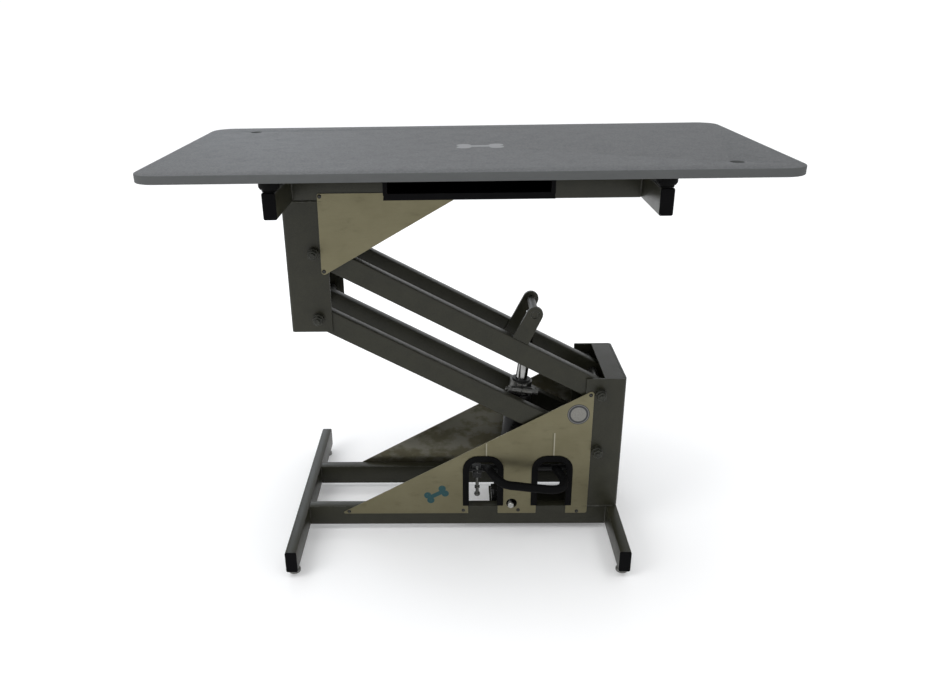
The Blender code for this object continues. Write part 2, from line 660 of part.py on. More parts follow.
def build_jack_mount():
    plate = 0.0060
    top = 0.0360
    side = FRONT_Y + TUBE_WIDE + GAP
    outline = [
        (-0.0100, side), (0.2600, side), (0.2600, 0.0320), (0.1550, 0.0320), (0.1550, -side),
        (0.0720, -side), (0.0720, 0.0320), (0.0580, 0.0320), (0.0580, -0.0620), (-0.0100, -0.0620),
    ]
    mount = add_part("jack_mount", extruded("jack_mount", [outline], top - plate, top), FRAME_PAINT, BASE)
    corners = [(-0.0785, top - 0.003, 0.0), (-0.0500, top - 0.003, 0.0), (-0.0580, 0.1620, 0.008), (-0.0785, 0.1620, 0.008)]
    for tag, x in (("left", -0.0085), ("right", 0.2400)):
        tab = extruded("tab_" + tag, [fillet(corners, 4)], x, x + 0.0050, "YZ")
        boolean(mount, add_cutter("tab_" + tag, tab), "UNION")
    boolean(mount, rod_cutter("hole_axle", "X", (PEDAL_Y, PEDAL_Z), 0.0063, -0.05, 0.30))
    return top


def build_pump_body(floor):
    mesh = box_mesh("jack_pump_body", (0.0620, 0.1500), (-0.0610, 0.0000), (floor + GAP, 0.0620))
    body = add_part("jack_pump_body", mesh, PUMP_PAINT, BASE)
    knuckle = 0.0135
    outline = [(JACK_X - 0.017, 0.055), (JACK_X + 0.017, 0.055)] + arc((JACK_X, JACK_Z), knuckle, 0.0, 180.0, 8)
    for tag, y in (("front", JACK_Y - 0.0295), ("rear", JACK_Y + 0.0175)):
        ear = extruded("ear_" + tag, [outline], y, y + 0.0120, "XZ")
        boolean(body, add_cutter("ear_" + tag, ear), "UNION")
    boolean(body, rod_cutter("ear_pin", "Y", (JACK_X, JACK_Z), 0.0062, JACK_Y - 0.033, JACK_Y + 0.033), "UNION")
    valve = box_mesh("valve_boss", (0.1160, 0.1480), (-0.0600, -0.0300), (0.0550, 0.0880))
    boolean(body, add_cutter("valve_boss", valve), "UNION")
    nose = box_mesh("valve_nose", (0.0960, 0.1440), (-0.0700, -0.0605), (0.0555, 0.0860))
    boolean(body, add_cutter("valve_nose", nose), "UNION")
    boolean(body, rod_cutter("piston_boss", "Z", (0.0740, -0.0480), 0.0090, 0.0550, 0.0780), "UNION")
    rows = (
        (0.0062, -0.1125, True), (0.0069, -0.1115, True), (0.0069, -0.1052, True), (0.0040, -0.1051, False),
        (0.0040, -0.0703, False),
    )
    name = "release_valve_screw"
    add_part(name, hex_loft(name, rows, 12), ZINC, BASE, at(0.1045, 0.0, 0.0715, "Y"))


def build_cylinder():
    shell = 0.0285
    neck = 0.0208
    bore = ROD_RADIUS + 0.0006
    profile = (
        (bore, 0.2885), (neck - 0.0010, 0.2885), (neck, 0.2875), (neck, 0.2540), (0.0265, 0.2520), (shell, 0.2480),
        (shell, 0.0235), (shell - 0.0015, 0.0220), (0.0, 0.0220), (0.0, 0.0340), (bore, 0.0340), (bore, 0.2885),
    )
    cylinder = turned_cylinder("jack_cylinder", profile[:-1], 28)
    knuckle = [(-0.0125, 0.0240)] + arc((0.0, 0.0), 0.0125, 180.0, 360.0, 8) + [(0.0125, 0.0240)]
    mesh = extruded("knuckle", [knuckle], -0.0160, 0.0160, "XZ")
    boolean(cylinder, add_cutter("knuckle", mesh, JACK_FRAME), "UNION")
    boolean(cylinder, rod_cutter("hole_knuckle", "Y", (0.0, 0.0), 0.0066, -0.03, 0.03, 20, JACK_FRAME))


def turned_cylinder(name, profile, sides):
    """Cup-shaped turned body whose profile starts and ends at the bore's mouth."""
    mesh = bpy.data.meshes.new(name)
    points = [(radius, 0.0, height) for radius, height in profile]
    bottom = next(i for i, point in enumerate(points) if point[0] <= 0.0)
    edges = [(i, i + 1) for i in range(bottom)]
    edges += [(i, i + 1) for i in range(bottom + 1, len(points) - 1)]
    edges.append((len(points) - 1, 0))
    mesh.from_pydata(points, edges, [])
    obj = add_part(name, mesh, PUMP_PAINT, BARREL, JACK_FRAME)
    screw = obj.modifiers.new("turn", "SCREW")
    screw.steps = sides
    screw.render_steps = sides
    screw.use_merge_vertices = True
    screw.merge_threshold = 0.00001
    screw.use_smooth_shade = True
    return obj


def build_rod():
    """Chromed rod with a stepped, hardened end just under the cross pin."""
    top = JACK_REACH - PIN_RADIUS - ROD_CLEARANCE
    bottom = 0.1330
    profile = (
        (0.0, top), (0.0095, top), (0.0110, top - 0.0015), (0.0110, top - 0.0110), (ROD_RADIUS, top - 0.0125),
        (ROD_RADIUS, bottom + 0.0010), (ROD_RADIUS - 0.0010, bottom), (0.0, bottom),
    )
    turned_part("jack_rod", profile, CHROME, RAM, JACK_FRAME, 28)


def build_clamp():
    """Split ring clamp round the cylinder neck, with two round bosses and a cross bolt in front."""
    inner = 0.0208 + GAP
    outer = 0.0257
    slit = 0.0011
    boss = 0.0085
    boss_end = 0.0235
    lug_half = 0.0100
    lug_y = CLAMP_BOLT_Y + 0.0020
    z = (CLAMP_BOLT_Z - 0.0130, CLAMP_BOLT_Z + 0.0130)
    a_slit = math.degrees(math.asin(slit / inner))
    a_lug = math.degrees(math.acos(lug_half / outer))
    outline = arc((0.0, 0.0), inner, -90.0 + a_slit, 270.0 - a_slit, 20)
    outline += [(-slit, lug_y), (-lug_half, lug_y)]
    outline += arc((0.0, 0.0), outer, 180.0 + a_lug, -a_lug, 20)
    outline += [(lug_half, lug_y), (slit, lug_y)]
    clamp = add_part("jack_clamp", extruded("jack_clamp", [outline], z[0], z[1]), ZINC, BARREL, JACK_FRAME)
    for tag, low, high in (("left", -boss_end, -slit), ("right", slit, boss_end)):
        spot = (CLAMP_BOLT_Y, CLAMP_BOLT_Z)
        boolean(clamp, rod_cutter("boss_" + tag, "X", spot, boss, low, high, 18, JACK_FRAME), "UNION")
    neck = rod_cutter("hole_neck", "Z", (0.0, 0.0), inner, z[0] - 0.01, z[1] + 0.01, 28, JACK_FRAME)
    boolean(clamp, neck)
    bolt_hole = rod_cutter("hole_clamp", "X", (CLAMP_BOLT_Y, CLAMP_BOLT_Z), 0.0046, -0.05, 0.05, 16, JACK_FRAME)
    boolean(clamp, bolt_hole)
    shank = 0.0043
    flats = 0.0070
    rows = (
        (0.0036, -0.0370, False), (shank, -0.0362, False), (shank, -0.0305, False), (flats, -0.0304, True),
        (flats, -0.0238, True), (shank, -0.0237, False), (shank, 0.0238, False), (flats, 0.0239, True),
        (flats, 0.0305, True), (shank, 0.0306, False), (shank, 0.0316, False), (flats, 0.0317, True),
        (flats, 0.0372, True), (0.0036, 0.0380, False),
    )
    matrix = JACK_FRAME @ at(0.0, CLAMP_BOLT_Y, CLAMP_BOLT_Z, "X")
    add_part("jack_clamp_bolt", hex_loft("jack_clamp_bolt", rows, 12), ZINC, BARREL, matrix)


# ---------------------------------------------------------------- foot pedal
def smooth_path(points, steps=2):
    """Catmull-Rom pass through the given points."""
    pts = [Vector(p) for p in points]
    out = []
    for i in range(len(pts) - 1):
        p0 = pts[max(i - 1, 0)]
        p1 = pts[i]
        p2 = pts[i + 1]
        p3 = pts[min(i + 2, len(pts) - 1)]
        for k in range(steps):
            t = k / steps
            a = 2.0 * p1
            b = (p2 - p0) * t
            c = (2.0 * p0 - 5.0 * p1 + 4.0 * p2 - p3) * t * t
            d = (3.0 * p1 - p0 - 3.0 * p2 + p3) * t * t * t
            out.append((a + b + c + d) * 0.5)
    out.append(pts[-1])
    return out


def build_pedal_bar():
    """Rubber-sleeved bar: out through one window, across the front, back through the other."""
    front = -0.1600
    left = 0.0490
    right = 0.2230
    path = [
        (left, -0.0810, 0.1560), (left + 0.0020, -0.0980, 0.1650), (left + 0.0065, -0.1220, 0.1720),
        (left + 0.0170, -0.1440, 0.1680), (left + 0.0370, front + 0.0020, 0.1590), (0.1150, front, 0.1550),
        (0.1600, front, 0.1490), (right - 0.0280, front, 0.1455), (right - 0.0070, front + 0.0080, 0.1455),
        (right, front + 0.0240, 0.1510), (right - 0.0040, -0.1140, 0.1560), (right - 0.0120, -0.0810, 0.1530),
    ]
    curve = bpy.data.curves.new("pedal_bar", "CURVE")
    curve.dimensions = "3D"
    curve.bevel_depth = PEDAL_RADIUS
    curve.bevel_resolution = 5
    curve.use_fill_caps = True
    points = smooth_path(path)
    spline = curve.splines.new("POLY")
    spline.points.add(len(points) - 1)
    for point, here in zip(spline.points, points):
        point.co = (here.x, here.y, here.z, 1.0)
    add_part("pedal_bar", curve, RUBBER, PEDAL)


def build_pedal_lever():
    """Axle with shoulders, and the lever that carries the adjusting bolt."""
    profile = (
        (0.0, 0.2490), (0.0050, 0.2490), (0.0060, 0.2480), (0.0060, 0.2396), (0.0090, 0.2395), (0.0090, -0.0030),
        (0.0060, -0.0031), (0.0060, -0.0120), (0.0050, -0.0130), (0.0, -0.0130),
    )
    lever = turned_part("pedal_lever", profile, ZINC, PEDAL, at(0.0, PEDAL_Y, PEDAL_Z, "X"), 20)
    corners = [
        (-0.0700, 0.1600, 0.0), (-0.0900, 0.1560, 0.005), (-0.0990, 0.1480, 0.004), (-0.0990, 0.1400, 0.003),
        (-0.0860, 0.1370, 0.002), (-0.0620, 0.1410, 0.0), (-0.0440, 0.1180, 0.004), (-0.0360, 0.1210, 0.004),
        (-0.0560, 0.1560, 0.0),
    ]
    arm = extruded("lever_arm", [fillet(corners, 4)], 0.0150, 0.0350, "YZ")
    boolean(lever, add_cutter("lever_arm", arm), "UNION")
    core = Matrix.Translation((0.0143, -0.0910, 0.1590)) @ Matrix.Rotation(math.radians(100.0), 4, "Y")
    boolean(lever, add_cutter("bar_core", rod_mesh("bar_core", 0.0050, 0.0, 0.0230, 16), core), "UNION")
    boolean(lever, rod_cutter("hole_stop_bolt", "Z", (0.0255, -0.0910), 0.0040, 0.10, 0.20, 16))
    name = "pedal_stop_bolt"
    shank = 0.0037
    rows = (
        (0.0030, 0.0868, False), (0.0060, 0.0885, False), (0.0072, 0.0915, False), (0.0068, 0.0950, False),
        (shank, 0.0965, False), (shank, 0.1090, False), (0.0060, 0.1091, True), (0.0060, 0.1135, True),
        (shank, 0.1136, False), (shank, 0.1640, False), (0.0030, 0.1646, False),
    )
    add_part(name, hex_loft(name, rows, 12), ZINC, PEDAL, at(0.0255, -0.0910, 0.0))


def build_all():
    build_base()
    build_posts()
    build_pivots()
    build_arms()
    build_lugs()
    build_top_frame()
    build_tabletop()
    build_tray()
    build_covers()
    build_pump_body(build_jack_mount())
    build_cylinder()
    build_rod()
    build_clamp()
    build_pedal_bar()
    build_pedal_lever()


build_all()
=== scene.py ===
"""Grooming table: surface materials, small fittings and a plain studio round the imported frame."""
import math

import bmesh
import bpy
from mathutils import Matrix, Vector


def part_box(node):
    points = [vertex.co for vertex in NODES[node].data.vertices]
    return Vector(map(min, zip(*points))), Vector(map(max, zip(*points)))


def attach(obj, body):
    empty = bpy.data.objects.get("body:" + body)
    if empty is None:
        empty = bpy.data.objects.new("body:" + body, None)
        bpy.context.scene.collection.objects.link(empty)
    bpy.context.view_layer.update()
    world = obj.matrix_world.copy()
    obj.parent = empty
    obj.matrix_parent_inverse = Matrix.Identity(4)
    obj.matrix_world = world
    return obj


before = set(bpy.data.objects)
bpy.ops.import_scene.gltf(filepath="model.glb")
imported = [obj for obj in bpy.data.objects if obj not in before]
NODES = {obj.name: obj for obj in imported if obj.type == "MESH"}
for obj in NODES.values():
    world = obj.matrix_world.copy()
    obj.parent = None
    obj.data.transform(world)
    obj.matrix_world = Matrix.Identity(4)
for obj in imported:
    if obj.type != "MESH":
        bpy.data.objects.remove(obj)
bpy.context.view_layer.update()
COVER_LOW, COVER_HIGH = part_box("lower_cover_front")

# ---------------------------------------------------------------- sizes and places, in metres
SHARP_ANGLE = math.radians(32.0)          # steeper edges of the frame stay sharp and are rounded by Bevel
PIECE_SHARP_ANGLE = math.radians(35.0)
FLAT_ANGLE = math.radians(0.4)
WELD_DISTANCE = 0.00001
EDGE_SEGMENTS = 2

LABEL_RADIUS = 0.0250
LABEL_CENTRE = (COVER_HIGH.x - 0.0325, COVER_HIGH.z - 0.05605)
LABEL_SIDES = 64
COVER_BONE_CENTRE = (COVER_LOW.x + 0.22145, COVER_LOW.z + 0.0527)
COVER_BONE_LENGTH = 0.056
COVER_BONE_TURN = math.radians(28.0)
TOP_BONE_CENTRE = (0.031, -0.015)
TOP_BONE_LENGTH = 0.098
GLARE_LINES = ((0.0462, 0.196, 0.236), (0.2012, 0.196, 0.262))      # x, bottom and top of each
THREAD_START = -0.1184                    # Y where the bare thread of a pivot bolt begins

SCREW_SIDES = 36
SCREW_PROFILE = (                         # radius, lift off the cover, lobes and their depth
    (0.0044, 0.00005, 0, 0.0),
    (0.0043, 0.0004, 0, 0.0),
    (0.0036, 0.0010, 0, 0.0),
    (0.0024, 0.0013, 0, 0.0),
    (0.0017, 0.00135, 6, 0.0005),
    (0.0016, 0.0003, 6, 0.0005),
)
# screws of each cover, measured along X and Z from the low corner of the cover's box
LOW_SCREWS = ((0.01235, 0.0060), (0.28475, 0.0082), (0.41465, 0.0088), (0.55295, 0.0051), (0.56965, 0.3100))
HIGH_SCREWS = ((0.00688, 0.16485), (0.00538, 0.00675), (0.29288, 0.16605))

BEAD_SIDES = 10
BEAD_RADIUS = 0.0026
BEAD_PITCH = 0.0030
BEAD_MARGIN = 0.003
POST_BEAD_RADIUS = 0.0020


# ---------------------------------------------------------------- node graph helper
class Graph:
    """A Principled material with short calls for the nodes used here."""

    def __init__(self, name, colour, roughness, metallic=0.0, specular=0.5):
        self.mat = bpy.data.materials.new(name)
        self.mat.use_nodes = True
        self.tree = self.mat.node_tree
        self.shader = self.tree.nodes["Principled BSDF"]
        self.set(self.shader, "Base Color", (*colour, 1.0))
        self.set(self.shader, "Roughness", roughness)
        self.set(self.shader, "Metallic", metallic)
        self.set(self.shader, "Specular IOR Level", specular)
        self.mat.diffuse_color = (*colour, 1.0)

    def set(self, node, socket, value):
        if isinstance(value, bpy.types.NodeSocket):
            self.tree.links.new(value, node.inputs[socket])
        else:
            node.inputs[socket].default_value = value

    def node(self, kind, inputs=(), **settings):
        made = self.tree.nodes.new(kind)
        for key, value in settings.items():
            setattr(made, key, value)
        for socket, value in dict(inputs).items():
            self.set(made, socket, value)
        return made

    def place(self, scale=(1.0, 1.0, 1.0), turn=(0.0, 0.0, 0.0)):
        coords = self.node("ShaderNodeTexCoord").outputs["Object"]
        inputs = {"Vector": coords, "Scale": scale, "Rotation": turn}
        return self.node("ShaderNodeMapping", inputs).outputs["Vector"]

    def split(self, vector):
        return self.node("ShaderNodeSeparateXYZ", {"Vector": vector}).outputs

    def surface_normal(self):
        return self.node("ShaderNodeNewGeometry").outputs["Normal"]

    def noise(self, vector, scale, detail=3.0, rough=0.55):
        inputs = {"Vector": vector, "Scale": scale, "Detail": detail, "Roughness": rough}
        return self.node("ShaderNodeTexNoise", inputs).outputs[0]

    def cells(self, vector, scale, smooth=None):
        """Distance to the nearest cell centre, with rounded borders where smooth is given."""
        feature = "F1" if smooth is None else "SMOOTH_F1"
        made = self.node("ShaderNodeTexVoronoi", {"Vector": vector, "Scale": scale}, feature=feature)
        if smooth is not None:
            made.inputs["Smoothness"].default_value = smooth
        return made.outputs["Distance"]

    def math(self, operation, a, b=0.0, clamp=False):
        made = self.node("ShaderNodeMath", operation=operation, use_clamp=clamp)
        self.set(made, 0, a)
        self.set(made, 1, b)
        return made.outputs[0]

    def times(self, a, b):
        return self.math("MULTIPLY", a, b)

    def plus(self, a, b):
        return self.math("ADD", a, b)

    def map(self, value, low, high, to_low=0.0, to_high=1.0):
        inputs = {"Value": value, "From Min": low, "From Max": high, "To Min": to_low, "To Max": to_high}
        return self.node("ShaderNodeMapRange", inputs).outputs[0]

    def mix(self, factor, a, b):
        made = self.node("ShaderNodeMix", data_type="RGBA", blend_type="MIX")
        self.set(made, 0, factor)
        self.set(made, 6, a)
        self.set(made, 7, b)
        return made.outputs[2]

    def bump(self, height, strength, distance, before=None):
        made = self.node("ShaderNodeBump", {"Strength": strength, "Distance": distance, "Height": height})
        if before is not None:
            self.set(made, "Normal", before)
        return made.outputs["Normal"]

    def worn_edges(self, radius, vector, patch_scale):
        """1 along outside edges, broken up by noise, and 0 on flat faces."""
        soft = self.node("ShaderNodeBevel", {"Radius": radius}, samples=4).outputs[0]
        dot = self.node("ShaderNodeVectorMath", operation="DOT_PRODUCT")
        self.set(dot, 0, soft)
        self.set(dot, 1, self.surface_normal())
        edge = self.map(dot.outputs["Value"], 0.995, 0.93)
        patch = self.map(self.noise(vector, patch_scale, 4.0), 0.40, 0.70)
        return self.math("MULTIPLY", edge, patch, clamp=True)

    def facing_up(self):
        """1 on faces that look up, 0 on upright ones."""
        return self.map(self.split(self.surface_normal())["Z"], 0.60, 0.95)

    def facing_front(self):
        """1 on faces that look along -Y, 0 elsewhere."""
        return self.map(self.split(self.surface_normal())["Y"], -0.5, -0.8)

    def use(self, socket, value):
        self.set(self.shader, socket, value)


def rgba(red, green, blue):
    return (red, green, blue, 1.0)


# ---------------------------------------------------------------- painted shapes
def disc_mask(graph, x, z, centre, radius, edge=0.0006):
    """1 inside a circle drawn in the plane of the two given coordinates."""
    dx = graph.math("SUBTRACT", x, centre[0])
    dz = graph.math("SUBTRACT", z, centre[1])
    far = graph.math("SQRT", graph.plus(graph.times(dx, dx), graph.times(dz, dz)))
    return graph.map(far, radius + edge, radius - edge)


def bar_mask(graph, x, z, centre, half, edge=0.0006):
    """1 inside an upright rectangle."""
    dx = graph.math("ABSOLUTE", graph.math("SUBTRACT", x, centre[0]))
    dz = graph.math("ABSOLUTE", graph.math("SUBTRACT", z, centre[1]))
    in_x = graph.map(dx, half[0] + edge, half[0] - edge)
    in_z = graph.map(dz, half[1] + edge, half[1] - edge)
    return graph.times(in_x, in_z)


def bone_mask(graph, plane, centre, length, angle=0.0):
    """A plain dog-bone silhouette: a bar with two knobs at each end."""
    turn = (0.0, angle, 0.0) if plane == "XZ" else (0.0, 0.0, angle)
    where = (-centre[0], 0.0, -centre[1]) if plane == "XZ" else (-centre[0], -centre[1], 0.0)
    coords = graph.node("ShaderNodeTexCoord").outputs["Object"]
    moved = graph.node("ShaderNodeMapping", {"Vector": coords, "Location": where}).outputs["Vector"]
    turned = graph.node("ShaderNodeMapping", {"Vector": moved, "Rotation": turn}).outputs["Vector"]
    split = graph.split(turned)
    u = split["X"]
    v = split["Z" if plane == "XZ" else "Y"]
    knob = length * 0.155
    reach = length * 0.5 - knob
    shape = bar_mask(graph, u, v, (0.0, 0.0), (reach, length * 0.095))
    for side in (-1.0, 1.0):
        for lobe in (-1.0, 1.0):
            spot = disc_mask(graph, u, v, (side * reach, lobe * knob * 0.86), knob)
            shape = graph.math("MAXIMUM", shape, spot)
    return shape


# ---------------------------------------------------------------- materials
def frame_paint():
    """Dark olive hammered enamel: blotches, fine flecks and thin worn edges."""
    g = Graph("hammered_paint", (0.015, 0.0147, 0.0096), 0.42, 0.0, 0.26)
    at = g.place()
    blotch = g.noise(at, 28.0, 4.0)
    fleck = g.cells(at, 520.0, 0.5)
    grain = g.noise(at, 1700.0, 2.0)
    base = g.mix(g.map(blotch, 0.35, 0.68), rgba(0.0108, 0.0106, 0.0056), rgba(0.0186, 0.0182, 0.0104))
    base = g.mix(g.map(fleck, 0.10, 0.65, 0.0, 0.50), base, rgba(0.0270, 0.0264, 0.0156))
    worn = g.worn_edges(0.0018, at, 90.0)
    g.use("Base Color", g.mix(g.times(worn, 0.75), base, rgba(0.14, 0.14, 0.135)))
    uneven = g.plus(g.times(blotch, 0.6), g.times(fleck, 0.4))
    g.use("Roughness", g.map(uneven, 0.2, 0.7, 0.32, 0.46))
    relief = g.plus(g.times(fleck, 0.8), g.times(grain, 0.2))
    g.use("Normal", g.bump(relief, 0.32, 0.0006))
    g.use("Coat Weight", 0.06)
    g.use("Coat Roughness", 0.25)
    return g.mat


def glare_lines(g, base, front):
    """Upright painted highlights (glare) above the windows, each with a soft dark line beside it."""
    split = g.split(g.place())
    for x, low, high in GLARE_LINES:
        middle = (low + high) / 2.0
        half = (high - low) / 2.0
        dark = bar_mask(g, split["X"], split["Z"], (x - 0.0030, middle), (0.0016, half), 0.0022)
        base = g.mix(g.times(g.times(dark, 0.45), front), base, rgba(0.060, 0.054, 0.033))
        light = bar_mask(g, split["X"], split["Z"], (x, middle), (0.0010, half), 0.0008)
        base = g.mix(g.times(g.times(light, 0.75), front), base, rgba(0.40, 0.38, 0.31))
    return base


def stainless(name, mark_and_glare=False, painted_sheen=False):
    """Brushed sheet; one option adds the bone mark and painted glare highlights, the other cloudy painted
    reflections, both on its -Y side.
    """
    g = Graph(name, (0.142, 0.128, 0.076), 0.38, 0.85, 0.4)
    streaks = g.noise(g.place((3.0, 3.0, 420.0)), 6.0, 5.0, 0.65)
    cloud = g.noise(g.place(), 11.0, 4.0)
    smear = g.noise(g.place((1.0, 1.0, 2.2), (0.0, 0.5, 0.0)), 34.0, 3.0)
    base = g.mix(g.map(cloud, 0.30, 0.70), rgba(0.124, 0.112, 0.065), rgba(0.156, 0.142, 0.086))
    base = g.mix(g.map(streaks, 0.30, 0.72, 0.0, 0.35), base, rgba(0.195, 0.180, 0.120))
    base = g.mix(g.map(smear, 0.60, 0.78, 0.0, 0.30), base, rgba(0.092, 0.082, 0.048))
    scuff = g.worn_edges(0.0009, g.place(), 70.0)
    base = g.mix(g.times(scuff, 0.5), base, rgba(0.36, 0.34, 0.27))
    front = g.facing_front()
    if painted_sheen:
        # Painted reflection: cloudy lighter patches on the sheet's -Y side.
        patches = g.map(g.noise(g.place((1.0, 1.0, 1.6)), 15.0, 5.0, 0.6), 0.46, 0.58, 0.15, 1.0)
        base = g.mix(g.times(patches, front), base, rgba(0.270, 0.262, 0.215))
    if mark_and_glare:
        # the bone print, then painted glare highlights above the windows
        base = glare_lines(g, base, front)
        mark = bone_mask(g, "XZ", COVER_BONE_CENTRE, COVER_BONE_LENGTH, COVER_BONE_TURN)
        chips = g.map(g.noise(g.place(), 420.0, 3.0), 0.26, 0.34)
        mark = g.times(g.times(mark, chips), front)
        base = g.mix(mark, base, rgba(0.0, 0.040, 0.046))
        g.use("Metallic", g.map(mark, 0.0, 1.0, 0.85, 0.0))
    g.use("Base Color", base)
    g.use("Roughness", g.plus(g.map(streaks, 0.2, 0.8, 0.28, 0.40), g.map(smear, 0.45, 0.80, 0.0, 0.14)))
    g.use("Normal", g.bump(streaks, 0.10, 0.0002))
    g.use("Anisotropic", 0.45)
    return g.mat


def zinc(name, tint=1.0):
    """Zinc plate with a frosted crystal pattern and grime; tint darkens it."""
    def tone(red, green, blue):
        return red * tint, green * tint, blue * tint

    g = Graph(name, tone(0.40, 0.40, 0.38), 0.34, 0.95, 0.5)
    at = g.place()
    frost = g.cells(at, 300.0)
    grime = g.noise(at, 90.0, 4.0)
    base = g.mix(g.map(frost, 0.0, 0.8), rgba(*tone(0.45, 0.45, 0.43)), rgba(*tone(0.33, 0.33, 0.31)))
    base = g.mix(g.map(grime, 0.52, 0.72, 0.0, 0.7), base, rgba(0.10, 0.095, 0.080))
    worn = g.worn_edges(0.0007, at, 120.0)
    g.use("Base Color", g.mix(g.times(worn, 0.6), base, rgba(0.60, 0.60, 0.58)))
    g.use("Roughness", g.map(grime, 0.35, 0.70, 0.26, 0.58))
    g.use("Normal", g.bump(g.noise(at, 900.0, 3.0), 0.15, 0.0003))
    return g.mat


def bolt_paint():
    """Painted-over hardware with turned threads along Y."""
    g = Graph("painted_bolt", (0.022, 0.022, 0.016), 0.46, 0.0, 0.28)
    at = g.place()
    grime = g.noise(at, 140.0, 4.0)
    base = g.mix(g.map(grime, 0.38, 0.66), rgba(0.015, 0.0153, 0.0105), rgba(0.028, 0.0283, 0.021))
    worn = g.worn_edges(0.0008, at, 140.0)
    g.use("Base Color", g.mix(g.times(worn, 0.6), base, rgba(0.17, 0.17, 0.15)))
    g.use("Roughness", g.map(grime, 0.30, 0.70, 0.34, 0.56))
    thread = g.node("ShaderNodeTexWave", {"Vector": at, "Scale": 125.0}, bands_direction="Y").outputs["Fac"]
    tip = g.map(g.split(at)["Y"], THREAD_START, THREAD_START - 0.0006)
    g.use("Normal", g.bump(g.times(thread, tip), 0.7, 0.0006, g.bump(grime, 0.15, 0.0004)))
    return g.mat


def chrome():
    """Chromed rod with fine lines along it and a thin oily film."""
    g = Graph("chromed_rod", (0.40, 0.40, 0.40), 0.12, 1.0, 0.5)
    lines = g.noise(g.place((1.0, 1.0, 600.0)), 4.0, 2.0)
    patches = g.noise(g.place(), 40.0, 4.0)
    base = g.mix(g.map(patches, 0.50, 0.75, 0.0, 0.6), rgba(0.30, 0.30, 0.295), rgba(0.12, 0.118, 0.105))
    g.use("Base Color", base)
    g.use("Roughness", g.map(patches, 0.35, 0.75, 0.07, 0.26))
    g.use("Normal", g.bump(lines, 0.06, 0.0002))
    return g.mat


def rubber():
    """Matt black rubber with a grained skin and a little dust."""
    g = Graph("black_rubber", (0.0022, 0.0022, 0.00231), 0.76, 0.0, 0.07)
    at = g.place()
    dust = g.noise(at, 55.0, 5.0)
    skin = g.noise(at, 1500.0, 2.0)
    clean = rgba(0.0022, 0.0022, 0.00231)
    dusty = rgba(0.00528, 0.00506, 0.00462)
    g.use("Base Color", g.mix(g.map(dust, 0.50, 0.78, 0.0, 0.6), clean, dusty))
    g.use("Roughness", g.map(dust, 0.3, 0.7, 0.56, 0.80))
    g.use("Normal", g.bump(skin, 0.25, 0.0004))
    return g.mat


def plastic():
    """Black moulded plastic with a spark-eroded texture and shallow scratches."""
    g = Graph("moulded_plastic", (0.0022, 0.0022, 0.0025), 0.58, 0.0, 0.05)
    at = g.place()
    spark = g.cells(at, 1300.0, 0.4)
    haze = g.noise(at, 24.0, 4.0)
    scratches = g.noise(g.place((900.0, 14.0, 60.0), (0.0, 0.0, 0.35)), 1.0, 2.0)
    clean = rgba(0.0018, 0.0018, 0.0021)
    dull = rgba(0.0040, 0.0040, 0.0044)
    base = g.mix(g.map(haze, 0.42, 0.75, 0.0, 0.7), clean, dull)
    worn = g.worn_edges(0.0009, at, 90.0)
    g.use("Base Color", g.mix(g.times(worn, 0.4), base, rgba(0.026, 0.026, 0.027)))
    cut = g.map(scratches, 0.66, 0.76, 0.0, 0.12)
    g.use("Roughness", g.plus(g.map(haze, 0.3, 0.7, 0.50, 0.64), cut))
    g.use("Normal", g.bump(spark, 0.22, 0.0003))
    return g.mat


def pump_paint():
    """Black enamel over rough castings, with oily patches and chipped edges."""
    g = Graph("pump_enamel", (0.010, 0.010, 0.010), 0.42, 0.0, 0.20)
    at = g.place()
    cast = g.noise(at, 260.0, 4.0)
    oil = g.noise(at, 22.0, 4.0)
    base = g.mix(g.map(oil, 0.40, 0.70), rgba(0.007, 0.007, 0.007), rgba(0.015, 0.0148, 0.014))
    worn = g.worn_edges(0.0012, at, 110.0)
    g.use("Base Color", g.mix(g.times(worn, 0.6), base, rgba(0.16, 0.16, 0.155)))
    g.use("Roughness", g.map(oil, 0.35, 0.70, 0.24, 0.50))
    g.use("Normal", g.bump(cast, 0.30, 0.0006))
    return g.mat


